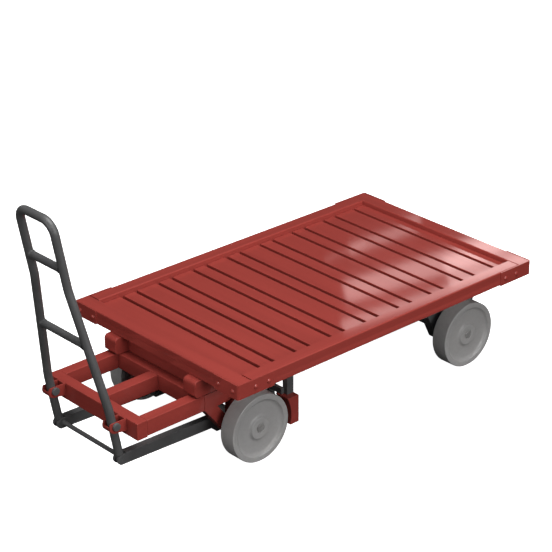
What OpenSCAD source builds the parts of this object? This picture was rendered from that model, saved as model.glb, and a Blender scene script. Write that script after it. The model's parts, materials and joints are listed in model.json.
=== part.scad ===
// Platform truck: a planked timber deck on four cast wheels. The two front wheels, the brake and the
// draw handle sit on a fore-carriage that turns under the deck on a king pin. All sizes in millimetres.
// The frame's origin is on the floor below the middle of the whole truck, +X points to the handle,
// +Y to the truck's left side and +Z up.

/* [Deck] */
// Length of the deck over its two end boards
deck_l = 1984; // [1500:10:3000]
// Width of the deck over its two side rails
deck_w = 1200; // [1000:10:1600]
// Height of the rails that frame the deck
rail_h = 75; // [66:1:110]
// Thickness of the two end boards, along the truck
headboard_t = 82; // [60:1:140]
// Thickness of the two side rails, across the truck
side_rail_t = 72; // [50:1:110]
// Open joint between a side rail and an end board
rail_joint = 3; // [1:0.5:6]
// Bevel along the edges of the sawn timbers
timber_bevel = 4; // [1:0.5:6]

/* [Planks] */
// Number of pairs of planks, each a wide one and a narrow one
plank_pairs = 8; // [4:1:8]
// Width of a narrow plank
plank_narrow_w = 68; // [40:1:110]
// Open slot between two planks
plank_slot = 20; // [4:1:25]
// How much wider the front plank is than the other wide planks
front_plank_extra = 11; // [0:1:30]
// Thickness of the planks
plank_t = 34; // [20:1:36]
// How far the planks' top lies below the top of the rails
plank_drop = 25; // [5:1:25]
// Width of the rebate in the side rails that carries the planks' ends
plank_seat = 30; // [15:1:45]
// Side clearance at each end of a plank
plank_end_gap = 1; // [0.5:0.5:5]

/* [Bearers] */
// Distance of a bearer's middle from the centre line
bearer_y = 297; // [292:1:330]
// Width of a bearer
bearer_w = 86; // [60:1:94]
// Height of a bearer below the rails
bearer_h = 87; // [70:1:130]
// How far the bearers' rounded noses stand out in front of the deck
bearer_nose = 36; // [25:1:80]
// Thickness of the cross board between the bearers, under the front end board
cross_board_t = 30; // [20:1:50]
// Setback of the cross board's front face from the deck's front end
cross_board_setback = 47; // [40:1:52]
// Clearance between the cross board and the turning carriage below it
cross_board_gap = 1.5; // [1:0.5:4]
// Radius of the two edges of a bearer's nose
bearer_round = 21; // [5:1:30]
// How far a bearer ends short of the deck's rear end
bearer_rear_inset = 7; // [0:1:60]

/* [Corner irons] */
// Thickness of the angle irons round the deck's corners
iron_t = 6; // [3:0.5:10]
// Length of an iron's leg on the side of the deck
iron_side_l = 225; // [205:1:320]
// Length of an iron's leg on the end of the deck
iron_end_l = 163; // [155:1:220]
// Outer radius of an iron's bent corner
iron_round = 13; // [7:1:20]
// Rivets' distances from the corner along the side leg
rivet_side_at = [110, 190];
// Rivets' distances from the corner along the end leg
rivet_end_at = [38, 139];
// Height of the rivets above the bottom of the rails
rivet_z = 34; // [20:1:45]
// Diameter of a rivet's shank
rivet_d = 8; // [5:0.5:12]
// Radius of a rivet's domed head
rivet_head_r = 8; // [7:0.5:12]
// Height of a rivet's domed head
rivet_head_h = 5; // [3:0.5:7]
// Depth that a rivet's shank reaches into the timber
rivet_depth = 30; // [10:1:45]

/* [Wheels] */
// Radius of the wheels
wheel_r = 175; // [150:1:215]
// Width of the wheels across the tread
wheel_w = 90; // [70:1:90]
// Distance of a wheel's middle from the centre line
wheel_y = 420; // [420:1:500]
// Width of the flat ring of the rim
rim_w = 24; // [16:1:30]
// Depth of the dish between rim and hub, on each face
dish = 15; // [6:1:22]
// Radius of the hub's flat face
hub_r = 52; // [40:1:60]
// How far the hub's face lies below the rim's face
hub_drop = 3; // [0:1:8]
// Diameter of the two axles
axle_d = 36; // [24:1:40]
// Outer diameter of the spacer collars on the axles
collar_d = 56; // [44:1:70]
// Side clearance between a collar and its wheel
collar_gap = 0.5; // [0.3:0.1:1]
// Rounding of the tread's edges
tread_edge = 4; // [2:0.5:8]
// Width of the hub's flat rim round the axle
hub_rim = 6; // [4:1:10]
// Depth of the recess round the axle's end in the hub's face
hub_recess = 3; // [1:0.5:5]
// How far an axle's end stands out of the hub's face
axle_stub = 2; // [1:0.5:6]
// Setback of the front axle from the deck's front end
front_setback = 258; // [230:1:500]
// Setback of the rear axle from the deck's rear end
rear_setback = 290; // [240:1:500]

/* [Fore-carriage] */
// Distance from the front axle to the middle of the handle's pivot
pivot_reach = 698; // [690:1:900]
// Distance of a handle leg's middle from the centre line, at the pivot
leg_y = 230; // [200:1:235]
// Distance of the carriage's side members' inner faces from the centre line
side_y = 276; // [276:1:300]
// Thickness of the carriage's timbers
timber_t = 60; // [40:1:70]
// Half width of the front beam
beam_half = 336; // [320:1:400]
// Distance from the front face of the beam to the middle of the handle's pivot
pivot_stand = 61; // [56:1:80]
// Distance that the front crossbeam stands before the guards' front ends
cross_ahead = 29; // [10:1:60]
// Height of the carriage rails' underside above the axle
rail_rise = 129; // [120:1:170]
// Height of the carriage's rails and arms
arm_h = 83; // [60:1:110]
// Drop of the front beam's underside below the arms
beam_drop = 4; // [0:1:20]
// Distance from the front axle to the front end of the side guards
guard_front = 234; // [220:1:300]
// Half width of the guards' foot below the axle
guard_foot = 87; // [70:1:110]
// Depth of the guards' foot below the axle
guard_depth = 55; // [40:1:70]
// Half width of the post that holds the axle in a guard
guard_post = 60; // [35:1:70]
// Width of a guard's slanting strut, measured level
strut_w = 77; // [40:1:90]
// Width of the rear strut, measured level
rear_strut_w = 46; // [30:1:60]
// Distance from the rear strut's outer edge at its top to the brake shaft
rear_strut_in = 72; // [60:1:90]
// Length of a guard's rail behind the brake shaft
guard_tail = 38; // [30:1:60]
// Half width of the bolster under the turntable
bolster_half = 50; // [40:1:80]
// How much the deck's bolster is wider than that, on each side
bolster_over = 10; // [0:1:20]
// How far the lower turntable plate stands out of the carriage
turntable_proud = 1; // [0.5:0.5:3]
// Radius of the turntable's two plates
turntable_r = 170; // [120:1:190]
// Thickness of each turntable plate
turntable_t = 8; // [5:0.5:12]
// Running clearance between the two turntable plates
turntable_gap = 0.4; // [0.3:0.1:1]
// Clearance between the turning carriage and the bearers above it
steer_gap = 4; // [3:0.5:12]
// Diameter of the king pin
king_d = 30; // [20:1:40]
// Width of the rim of the king pin's head
king_head_rim = 10; // [6:1:16]
// Thickness of the king pin's head
king_head_t = 11; // [6:1:14]
// Height of the king pin's nut
king_nut_t = 18; // [12:1:24]
// Clearance between the nut and the carriage bolster
king_nut_gap = 0.5; // [0.3:0.1:1]

/* [Handle] */
// Lean of the handle at rest, degrees forward of upright
lean = 10.8; // [6:0.1:20]
// Outer diameter of the handle's tube
tube_d = 42; // [30:0.5:43]
// Height of the top bar above the pivot, along the leg
handle_l = 1047; // [900:5:1300]
// Half width of the narrow top of the handle, over the tube's middle
grip_half = 125; // [100:1:180]
// Where the legs start to close in, along the leg from the pivot
kink_low = 80; // [60:1:150]
// Where the legs run parallel again, along the leg from the pivot
kink_high = 692; // [600:1:750]
// How much a leg's rounded bends stand out over the tube
knuckle = 0.5; // [0.3:0.1:1]
// Thickness of the flat tongue at a leg's foot
tongue_t = 16; // [10:1:24]
// Radius of the tongue's round end
tongue_r = 18; // [14:1:19]
// Bend radius at the two top corners
grip_r = 65; // [45:1:90]
// Places of the two rungs, along the leg from the pivot
rung_at = [411, 802];
// Diameter of the rungs
rung_d = 38; // [20:0.5:40]
// Length of the legs below the pivot, to the brake bars' pins
foot_l = 195; // [160:1:220]

/* [Lugs] */
// Thickness of a lug's two cheeks
cheek_t = 6; // [5:0.5:12]
// Side clearance between the handle's leg and a cheek
cheek_gap = 1; // [1:0.5:5]
// Radius of a lug's nose round the pin
lug_r = 35; // [32:1:40]
// Thickness of the web that joins the cheeks in front
lug_web = 6; // [3:0.5:8]
// Depth of a lug at the beam, below the pin
lug_depth = 43; // [36:1:55]
// Depth of the pin below the carriage's top
pin_depth = 20; // [16:1:30]
// Diameter of the handle's pivot pins
pin_d = 20; // [12:1:24]
// Radius of a pivot pin's head
pin_head_r = 20; // [14:1:24]
// Thickness of a pivot pin's head
pin_head_t = 13; // [6:1:18]
// Clearance between a pivot pin's head and its lug
pin_head_gap = 0.5; // [0.3:0.1:1]
// How far a pivot pin's other end stands out of its lug
pin_end = 6; // [2:1:12]
// Thickness of a lug's back plate
lug_plate = 6; // [4:0.5:10]

/* [Brake] */
// Release gap between a brake shoe and its wheel
brake_gap = 22; // [15:1:30]
// Thickness of a shoe behind the middle of its curved face
shoe_t = 48.4; // [40:0.2:60]
// Height of a shoe above the axle
shoe_up = 92; // [60:1:105]
// Depth of a shoe below the axle
shoe_down = 53.5; // [30:0.5:60]
// Diameter of the brake shaft
shaft_d = 30; // [20:1:34]
// Distance of the brake shaft behind the wheel's tread
shaft_behind = 47; // [40:1:60]
// Height of the brake shaft above the rails' underside
shaft_rise = 60; // [50:1:60]
// Width of a hanger post along the truck
post_l = 41.4; // [34:0.2:48]
// Width of a hanger post across the truck
post_w = 32; // [20:1:40]
// Distance of a hanger post's middle from the middle of its wheel
post_inset = 7; // [0:1:20]
// Thickness of the brake beam
brake_beam_t = 19; // [10:1:24]
// Height of the brake beam
brake_beam_h = 31; // [20:1:34]
// How far the brake beam ends inside the posts' middles
brake_beam_inset = 5; // [0:1:10]
// Thickness of the two levers that turn the brake shaft
lever_t = 12; // [8:1:16]
// Wall of a lever round the brake shaft
lever_wall = 5; // [3:1:8]
// Half width of a lever at the bar's pin
lever_end_r = 16; // [12:1:18]
// Side clearance between a lever and a brake bar
lever_gap = 3; // [1:0.5:6]
// Diameter of the pins in the brake bars' ends
bar_pin_d = 16; // [10:1:20]
// Wall of a bar's rear eye round its pin
eye_wall = 12; // [8:1:16]
// Radial clearance of the lever's pin in a bar's rear eye, where the linkage is opened
eye_gap = 0.5; // [0.3:0.1:1]
// Height of a brake bar
bar_h = 58; // [40:1:62]
// Width of a brake bar
bar_w = 38; // [25:1:42]
// Slope of the brake bars, degrees down to the rear
bar_slope = 1.6; // [0:0.1:5]
// Height of a brake bar's middle above its front pin
bar_lift = 2; // [0:0.5:4]
// Width of the fork that holds the handle's foot
fork_w = 42; // [40:1:60]
// Clearance between the handle's foot and the fork
fork_gap = 1; // [0.5:0.5:3]
// Radius of the fork's round end
fork_r = 26; // [22:0.5:28]
// Height of the thin part of a bar, which passes below the front axle
rod_h = 24; // [16:1:30]
// Clearance of the thin part below the front axle, at the handle's furthest lean
rod_gap = 8; // [4:1:14]
// Distance from the front axle to where a bar starts to get thin
rod_from = 120; // [115:1:170]
// Length over which a bar gets thin
rod_taper = 30; // [25:1:60]
// Distance from the brake shaft to where the thin part starts to rise
rod_rise_at = 90; // [80:1:110]
// Diameter of the rod that joins the two brake bars
cross_rod_d = 22; // [12:1:26]
// Setback of that rod's middle from the foot pins
cross_rod_back = 8; // [0:1:12]
// Height of that rod's middle above the foot pins
cross_rod_up = 5; // [0:1:10]

/* [Rear stands] */
// Half length of a stand's foot below the rear axle
stand_foot = 94; // [80:1:120]
// Depth of a stand's foot below the rear axle
stand_depth = 40; // [36:1:60]
// Widening of a stand for each millimetre that it rises, on each side
stand_flare = 0.5; // [0:0.05:0.5]
// Wall of the folded steel stands and of the tie between them
stand_wall = 8; // [4:0.5:12]
// Radius of the boss that holds the rear axle
boss_r = 35; // [26:1:38]
// Depth of the tie's webs below the bearers
tie_h = 175; // [60:5:175]
// Half length of the tie between the stands
tie_half = 134; // [100:1:134]

/* [Limits and fits] */
// Furthest forward lean of the handle from rest, degrees
tilt_max = 18; // [10:1:18]
// Radial clearance of the turning pins, axles and shafts in their bores
run_gap = 0.05; // [0.02:0.01:0.1]

/* [Hidden] */
$fn = 96;

// Heights, from the floor up
axle_z = wheel_r;
arm_z = axle_z + rail_rise;
carriage_top = arm_z + arm_h;
bearer_z = carriage_top + steer_gap;
rail_z = bearer_z + bearer_h;
deck_top = rail_z + rail_h;
plank_z = deck_top - plank_drop - plank_t;

// Lengths along the truck, from the middle of the deck
deck_end = deck_l / 2;
inner_end = deck_end - headboard_t;
rail_end = inner_end - rail_joint;
steer_x = deck_end - front_setback;
rear_x = rear_setback - deck_end;
plank_free = 2 * inner_end - front_plank_extra - plank_pairs * plank_narrow_w - (2 * plank_pairs - 1) * plank_slot;
plank_wide_w = plank_free / plank_pairs;
pair_pitch = plank_wide_w + plank_narrow_w + 2 * plank_slot;
plank_half = deck_w / 2 - side_rail_t - plank_end_gap;

// Lengths along the carriage, from the front axle, which lies below the king pin
side_out = side_y + timber_t;
lug_face = pivot_reach - pivot_stand;
beam_back = lug_face - timber_t;
arm_half = timber_t / 2;
cross_front = guard_front + cross_ahead;
shaft_x = -(wheel_r + shaft_behind);
shaft_z = arm_z + shaft_rise;
guard_back = shaft_x - guard_tail;
rear_strut_x = shaft_x + rear_strut_in;
shoe_back = -(wheel_r + brake_gap + shoe_t);
post_y = wheel_y - post_inset;
post_face = shaft_x + post_l / 2;
shoe_top = axle_z + shoe_up;

// Handle and linkage
pivot_z = carriage_top - pin_depth;
tube_r = tube_d / 2;
foot_dx = -foot_l * sin(lean);
foot_dz = -foot_l * cos(lean);
foot_x = pivot_reach + foot_dx;
foot_z = pivot_z + foot_dz;
lever_x = shaft_x + foot_dx;
lever_z = shaft_z + foot_dz;
bar_rise = foot_l * (cos(lean) - cos(lean + tilt_max));
rod_top = axle_z - axle_d / 2 - bar_rise - rod_gap;
slot_half = tube_r + cheek_gap;
lug_half = slot_half + cheek_t;
fork_half = fork_w / 2;
bar_eye_r = bar_pin_d / 2 + eye_wall;
fork_slot = tongue_t / 2 + fork_gap;
plate_z = carriage_top + turntable_proud;
lever_y = leg_y + bar_w / 2 + lever_gap;

// The frame's origin lies halfway between the rear rivets' heads and the handle's top bar
x_max = steer_x + pivot_reach + handle_l * sin(lean) + tube_r;
x_min = -(deck_end + iron_t + rivet_head_h);
frame_x = (x_max + x_min) / 2;

PLANKS = [for (i = [1 : 2 * plank_pairs]) str("plank_", i)];

RED = [0.61, 0.25, 0.22];
DARK_RED = [0.51, 0.21, 0.18];
DARK = [0.25, 0.25, 0.25];
STEEL = [0.55, 0.55, 0.55];
IRON = [0.5, 0.49, 0.49];

// Places what is drawn from the deck's middle into the truck's frame
module on_deck() {
    translate([-frame_x, 0, 0]) children();
}

// Places what is drawn from the front axle into the truck's frame
module on_carriage() {
    translate([steer_x - frame_x, 0, 0]) children();
}

// Places what is drawn from the handle's pivot, leaning as the handle does at rest
module on_handle() {
    on_carriage() translate([pivot_reach, 0, pivot_z]) rotate([0, lean, 0]) children();
}

// A solid with the outline of its 2-D children, drawn in X and Z, between two places across the truck
module across(y0, y1) {
    translate([0, y1, 0]) rotate([90, 0, 0]) linear_extrude(height = y1 - y0) children();
}

// A round bar across the truck
module cross_bar(x, z, r, y0, y1) {
    translate([x, y0, z]) rotate([-90, 0, 0]) cylinder(r = r, h = y1 - y0);
}

// A box given by its two opposite corners
module span(a, b) {
    translate(a) cube(b - a);
}

// A rectangle with bevelled corners, given by its two opposite corners
module bevelled(a, b, c) {
    polygon([[a.x + c, a.y], [b.x - c, a.y], [b.x, a.y + c], [b.x, b.y - c],
        [b.x - c, b.y], [a.x + c, b.y], [a.x, b.y - c], [a.x, a.y + c]]);
}

// Mirrors its children to the truck's right side
module other_side(right) {
    mirror([0, right ? 1 : 0, 0]) children();
}

// Rivets at the front left corner, or the holes for them where heads is false
module corner_fasteners(grow = 0, heads = true) {
    z = rail_z + rivet_z;
    for (d = rivet_side_at)
        translate([deck_end + iron_t - d, deck_w / 2 + iron_t, z]) rotate([-90, 0, 0]) rivet(grow, heads);
    for (d = rivet_end_at)
        translate([deck_end + iron_t, deck_w / 2 + iron_t - d, z]) rotate([0, 90, 0]) rivet(grow, heads);
}

// A rivet that points along +Z, with the underside of its domed head at the origin
module rivet(grow, heads) {
    translate([0, 0, -rivet_depth]) cylinder(d = rivet_d + 2 * grow, h = rivet_depth + (heads ? 0.01 : 1));
    if (heads)
        intersection() {
            ball_r = (rivet_head_r * rivet_head_r + rivet_head_h * rivet_head_h) / (2 * rivet_head_h);
            translate([0, 0, rivet_head_h - ball_r]) sphere(r = ball_r);
            cylinder(r = rivet_head_r, h = rivet_head_h);
        }
}

// The same at all four corners
module all_corners() {
    for (x = [0, 1])
        for (y = [0, 1])
            mirror([x, 0, 0]) mirror([0, y, 0]) children();
}

module headboard(rear) {
    color(RED) on_deck() mirror([rear ? 1 : 0, 0, 0]) difference() {
        across(-deck_w / 2, deck_w / 2)
            bevelled([inner_end, rail_z], [deck_end, deck_top], timber_bevel);
        corner_fasteners(run_gap, false);
        mirror([0, 1, 0]) corner_fasteners(run_gap, false);
    }
}

// A side rail has a rebate along its inner side, in which the planks' ends lie
module side_rail(right) {
    y_in = deck_w / 2 - side_rail_t;
    y_out = deck_w / 2;
    b = timber_bevel;
    color(RED) on_deck() other_side(right) difference() {
        translate([-rail_end, 0, 0]) rotate([90, 0, 90]) linear_extrude(height = 2 * rail_end)
            polygon([[y_in - plank_seat, rail_z], [y_out - b, rail_z], [y_out, rail_z + b],
                [y_out, deck_top - b], [y_out - b, deck_top], [y_in + b, deck_top],
                [y_in, deck_top - b], [y_in, plank_z], [y_in - plank_seat, plank_z]]);
        all_corners() corner_fasteners(run_gap, false);
    }
}

// Planks run across the deck from the front end, wide and narrow in turn, with open slots
module plank(i) {
    pair = floor((i - 1) / 2);
    wide = i % 2 == 1;
    x1 = inner_end - front_plank_extra - pair * pair_pitch - (wide ? 0 : plank_wide_w + plank_slot);
    x0 = x1 - (wide ? plank_wide_w : plank_narrow_w);
    color(RED) on_deck() across(-plank_half, plank_half)
        bevelled([x0, plank_z], [i == 1 ? inner_end : x1, plank_z + plank_t], timber_bevel / 2);
}

// A bearer is notched under the two end boards and rounded at its nose
module bearer(right) {
    nose = deck_end + bearer_nose;
    back = deck_end - bearer_rear_inset;
    color(DARK_RED) on_deck() other_side(right) across(bearer_y - bearer_w / 2, bearer_y + bearer_w / 2)
        union() {
            translate([-back, bearer_z]) square([back + nose - bearer_round, bearer_h]);
            translate([0, bearer_z + bearer_round]) square([nose, bearer_h - 2 * bearer_round]);
            for (z = [bearer_z + bearer_round, rail_z - bearer_round])
                translate([nose - bearer_round, z]) circle(r = bearer_round);
            translate([-inner_end, bearer_z + bearer_round])
                square([2 * inner_end, plank_z - bearer_z - bearer_round]);
        }
}

module corner_iron(rear, right) {
    x = deck_end + iron_t;
    y = deck_w / 2 + iron_t;
    r = iron_round;
    color(RED) on_deck() mirror([rear ? 1 : 0, 0, 0]) mirror([0, right ? 1 : 0, 0]) difference() {
        translate([0, 0, rail_z]) linear_extrude(height = rail_h) difference() {
            union() {
                translate([x - iron_side_l, y - iron_t]) square([iron_side_l - r, iron_t]);
                translate([x - iron_t, y - iron_end_l]) square([iron_t, iron_end_l - r]);
                translate([x - r, y - r]) circle(r = r);
            }
            translate([0, 0]) square([deck_end, deck_w / 2]);
        }
        corner_fasteners(run_gap, false);
    }
}

module corner_rivets() {
    color(RED) on_deck() all_corners() corner_fasteners();
}

// The deck's bolster over the turntable, and the cross board under the front end board
module deck_bolster() {
    y = bearer_y - bearer_w / 2;
    half = bolster_half + bolster_over;
    board_x = deck_end - cross_board_setback;
    color(DARK_RED) {
        on_carriage() difference() {
            span([-half, -y, plate_z + turntable_gap + turntable_t], [half, y, rail_z]);
            cylinder(d = king_d + 2 * run_gap, h = deck_top);
        }
        on_deck() span([board_x - cross_board_t, -y, carriage_top + cross_board_gap], [board_x, y, rail_z]);
    }
}

module turntable_plate(z0) {
    color(DARK) on_carriage() difference() {
        translate([0, 0, z0]) cylinder(r = turntable_r, h = turntable_t);
        cylinder(d = king_d + 2 * run_gap, h = deck_top);
    }
}

module turntable_upper() {
    turntable_plate(plate_z + turntable_gap);
}

module turntable_lower() {
    turntable_plate(plate_z - turntable_t);
}

// The king pin's head lies on the deck's bolster, below the planks, and its nut under the carriage
module king_pin() {
    z0 = arm_z - king_nut_gap - king_nut_t;
    color(STEEL) on_carriage() {
        translate([0, 0, z0]) cylinder(d = king_d, h = rail_z - z0);
        translate([0, 0, rail_z]) cylinder(r = king_d / 2 + king_head_rim, h = king_head_t);
        translate([0, 0, z0]) cylinder(r = king_d / 2 + king_head_rim, h = king_nut_t, $fn = 6);
    }
}

// A stand is a folded steel box, open to the inside, with a boss for the axle
module axle_stand(right) {
    foot_z0 = axle_z - stand_depth;
    w = stand_wall;
    color(DARK) on_deck() other_side(right) translate([rear_x, 0, 0]) difference() {
        union() {
            across(side_y, side_out)
                difference() {
                    stand_outline(foot_z0, bearer_z, 0);
                    stand_outline(foot_z0 + w, bearer_z - w, w);
                }
            across(side_out - w, side_out) stand_outline(foot_z0, bearer_z, 0);
            cross_bar(0, axle_z, boss_r, side_y, side_out);
        }
        cross_bar(0, axle_z, axle_d / 2 + run_gap, side_y - 1, side_out + 1);
    }
}

// The stand's flared outline between two heights, with its sides moved in by a wall
module stand_outline(z0, z1, wall) {
    low = stand_foot + stand_flare * (z0 - axle_z + stand_depth) - wall;
    high = stand_foot + stand_flare * (z1 - axle_z + stand_depth) - wall;
    polygon([[-low, z0], [low, z0], [high, z1], [-high, z1]]);
}

// A channel, open downwards, that ties the two stands together
module rear_cross_tie() {
    w = stand_wall;
    color(DARK) on_deck() translate([rear_x, 0, 0]) difference() {
        span([-tie_half, -side_y, bearer_z - tie_h], [tie_half, side_y, bearer_z]);
        span([-tie_half + w, -side_y - 1, bearer_z - tie_h - 1], [tie_half - w, side_y + 1, bearer_z - w]);
    }
}

// An axle is one round bar with a spacer collar between each stand or guard and its wheel
module axle() {
    half = wheel_y + wheel_w / 2 + axle_stub - hub_drop;
    color(STEEL) {
        cross_bar(0, axle_z, axle_d / 2, -half, half);
        for (right = [false, true])
            other_side(right)
                cross_bar(0, axle_z, collar_d / 2, side_out, wheel_y - wheel_w / 2 - collar_gap);
    }
}

module rear_axle() {
    on_deck() translate([rear_x, 0, 0]) axle();
}

module front_axle() {
    on_carriage() axle();
}

module front_beam() {
    color(RED) on_carriage() across(-beam_half, beam_half)
        bevelled([beam_back, arm_z - beam_drop], [lug_face, carriage_top], timber_bevel / 2);
}

// An outer arm runs back from the front beam to a guard
module arm_outer(right) {
    color(RED) on_carriage() other_side(right)
        span([guard_front, side_y, arm_z], [beam_back, side_out, carriage_top]);
}

module arm_centre() {
    color(RED) on_carriage() span([cross_front, -arm_half, arm_z], [beam_back, arm_half, carriage_top]);
}

module crossbeam_front() {
    color(RED) on_carriage()
        span([cross_front - timber_t, -side_y, arm_z], [cross_front, side_y, carriage_top]);
}

// A guard is a rail with a V of struts below it, which holds the axle and the brake shaft
module guard(right) {
    foot_z0 = axle_z - guard_depth;
    front_run = guard_front - guard_foot;
    rear_run = -rear_strut_x - guard_foot;
    rise = arm_z - foot_z0;
    color(RED) on_carriage() other_side(right) difference() {
        across(side_y, side_out)
            difference() {
                union() {
                    translate([guard_back, arm_z]) square([guard_front - guard_back, arm_h - 1]);
                    polygon([[rear_strut_x, arm_z], [-guard_foot, foot_z0], [guard_foot, foot_z0],
                        [guard_front, arm_z]]);
                }
                guard_window(guard_front - strut_w, front_run / rise);
                mirror([1, 0]) guard_window(-rear_strut_x - rear_strut_w, rear_run / rise);
            }
        cross_bar(0, axle_z, axle_d / 2 + run_gap, side_y - 1, side_out + 1);
        cross_bar(shaft_x, shaft_z, shaft_d / 2 + run_gap, side_y - 1, side_out + 1);
    }
}

// The three-cornered window between a strut and the post that holds the axle
module guard_window(top_x, run_per_rise) {
    polygon([[guard_post, arm_z], [top_x, arm_z], [guard_post, arm_z - (top_x - guard_post) / run_per_rise]]);
}

module carriage_bolster() {
    color(DARK_RED) on_carriage() difference() {
        span([-bolster_half, -side_y, arm_z], [bolster_half, side_y, plate_z - turntable_t]);
        cylinder(d = king_d + 2 * run_gap, h = deck_top);
    }
}

// A lug is two cheeks on a back plate, joined in front by a curved web below the handle's leg
module lug(right) {
    y = right ? -leg_y : leg_y;
    color(RED) on_carriage() difference() {
        across(y - lug_half, y + lug_half) lug_outline();
        across(y - slot_half, y + slot_half)
            difference() {
                translate([lug_face + lug_plate, pivot_z - 2 * lug_r]) square([4 * lug_r, 4 * lug_r]);
                lug_web_outline();
            }
        cross_bar(pivot_reach, pivot_z, pin_d / 2 + run_gap, y - lug_half - 1, y + lug_half + 1);
    }
}

module lug_outline() {
    intersection() {
        union() {
            translate([pivot_reach, pivot_z]) circle(r = lug_r);
            polygon([[lug_face, pivot_z - lug_depth], [pivot_reach - 4, pivot_z - lug_r + 0.3],
                [pivot_reach, pivot_z + lug_r], [lug_face, pivot_z + lug_r]]);
        }
        translate([lug_face, pivot_z - 2 * lug_r]) square([4 * lug_r, 2 * lug_r + pin_depth]);
    }
}

// The web spans the angles that the leg's swing leaves free
module lug_web_outline() {
    low = -42;
    high = 4;
    reach = 2 * lug_r;
    translate([pivot_reach, pivot_z]) intersection() {
        difference() {
            circle(r = lug_r);
            circle(r = lug_r - lug_web);
        }
        polygon([[0, 0], [reach * cos(low), reach * sin(low)], [reach * cos(high), reach * sin(high)]]);
    }
}

// Half the width between the two legs' middles at a place along them
function leg_half(s) = s >= kink_high ? grip_half :
    leg_y + (grip_half - leg_y) * (s - kink_low) / (kink_high - kink_low);

// The slanting stretch of a leg, between its two slight bends
module leg_slant() {
    run = leg_y - grip_half;
    rise = kink_high - kink_low;
    translate([0, leg_y, kink_low]) rotate([atan(run / rise), 0, 0])
        cylinder(r = tube_r, h = norm([run, rise]));
}

// The upright stretch of a leg below the top bar
module leg_high() {
    translate([0, grip_half, kink_high]) cylinder(r = tube_r, h = handle_l - grip_r - kink_high);
}

// One leg with its bends and the flat tongue at its foot, up to the top bar's corner
module leg() {
    tube_end = fork_r + fork_gap - foot_l;
    translate([0, leg_y, tube_end]) cylinder(r = tube_r, h = kink_low - tube_end);
    leg_slant();
    leg_high();
    cross_bar(0, -foot_l, tongue_r, leg_y - tongue_t / 2, leg_y + tongue_t / 2);
    span([-tongue_r, leg_y - tongue_t / 2, -foot_l], [tongue_r, leg_y + tongue_t / 2, tube_end + 1]);
    translate([0, leg_y, kink_low]) sphere(r = tube_r + knuckle);
    translate([0, grip_half, kink_high]) sphere(r = tube_r + knuckle);
    translate([0, grip_half - grip_r, handle_l - grip_r]) rotate([90, 0, 90])
        rotate_extrude(angle = 90) translate([grip_r, 0]) circle(r = tube_r);
}

module handle_frame() {
    grip_end = grip_half - grip_r;
    color(DARK) on_handle() difference() {
        union() {
            cross_bar(0, handle_l, tube_r, -grip_end, grip_end);
            for (right = [false, true])
                other_side(right) leg();
        }
        for (y = [-leg_y, leg_y]) {
            cross_bar(0, 0, pin_d / 2 + run_gap, y - tube_r - 1, y + tube_r + 1);
            cross_bar(0, -foot_l, bar_pin_d / 2 + run_gap, y - tube_r - 1, y + tube_r + 1);
        }
    }
}

// The rungs' ends are shaped to the legs that they are welded to
module handle_rungs() {
    color(DARK) on_handle() difference() {
        for (s = rung_at)
            cross_bar(0, s, rung_d / 2, -leg_half(s), leg_half(s));
        for (right = [false, true])
            other_side(right) {
                leg_slant();
                leg_high();
            }
    }
}

// The pivot pins turn in the lugs, and the foot pins in the brake bars' forks
module handle_pins() {
    color(DARK) on_carriage() for (y = [-leg_y, leg_y]) {
        cross_bar(pivot_reach, pivot_z, pin_d / 2, y - lug_half - pin_end, y + lug_half + pin_head_gap);
        cross_bar(pivot_reach, pivot_z, pin_head_r, y + lug_half + pin_head_gap, y + lug_half + pin_head_t);
        cross_bar(foot_x, foot_z, bar_pin_d / 2, y - fork_half, y + fork_half);
    }
}

// A bar is deep in front, thin where it passes below the axle, and ends in an eye at the lever's pin
module brake_bar(right) {
    y = right ? -leg_y : leg_y;
    color(DARK) on_carriage() difference() {
        union() {
            across(y - bar_w / 2, y + bar_w / 2) bar_outline();
            across(y - fork_half, y + fork_half) fork_outline();
        }
        across(y - fork_slot, y + fork_slot)
            translate([foot_x - tube_r - fork_gap, foot_z - bar_h]) square([2 * bar_h, 2 * bar_h]);
        cross_bar(foot_x, foot_z, bar_pin_d / 2 + run_gap, y - fork_half - 1, y + fork_half + 1);
        cross_bar(lever_x, lever_z, bar_pin_d / 2 + eye_gap, y - bar_w, y + bar_w);
    }
}

function bar_mid(x) = foot_z + bar_lift - (foot_x - x) * tan(bar_slope);

module bar_outline() {
    thin_x = rod_from - rod_taper;
    rise_x = shaft_x + rod_rise_at;
    rod_low = rod_top - rod_h;
    half = bar_h / 2;
    eye = rod_h / 2;
    front = foot_x - tube_r - 2 * fork_gap;
    polygon([[front, bar_mid(front) + half], [rod_from, bar_mid(rod_from) + half], [thin_x, rod_top],
        [rise_x, rod_top], [lever_x, lever_z + eye], [lever_x, lever_z - eye], [rise_x, rod_low],
        [thin_x, rod_low], [rod_from, bar_mid(rod_from) - half], [front, bar_mid(front) - half]]);
    translate([lever_x, lever_z]) circle(r = bar_eye_r);
}

// The fork is round about the pin in the handle's foot and runs back into the bar
module fork_outline() {
    translate([foot_x, foot_z]) circle(r = fork_r);
    translate([foot_x - 2 * fork_r, foot_z - fork_r]) square([2 * fork_r, 2 * fork_r]);
}

module cross_rod() {
    half = leg_y - fork_half;
    color(DARK) on_carriage()
        cross_bar(foot_x - cross_rod_back, foot_z + cross_rod_up, cross_rod_d / 2, -half, half);
}

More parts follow.
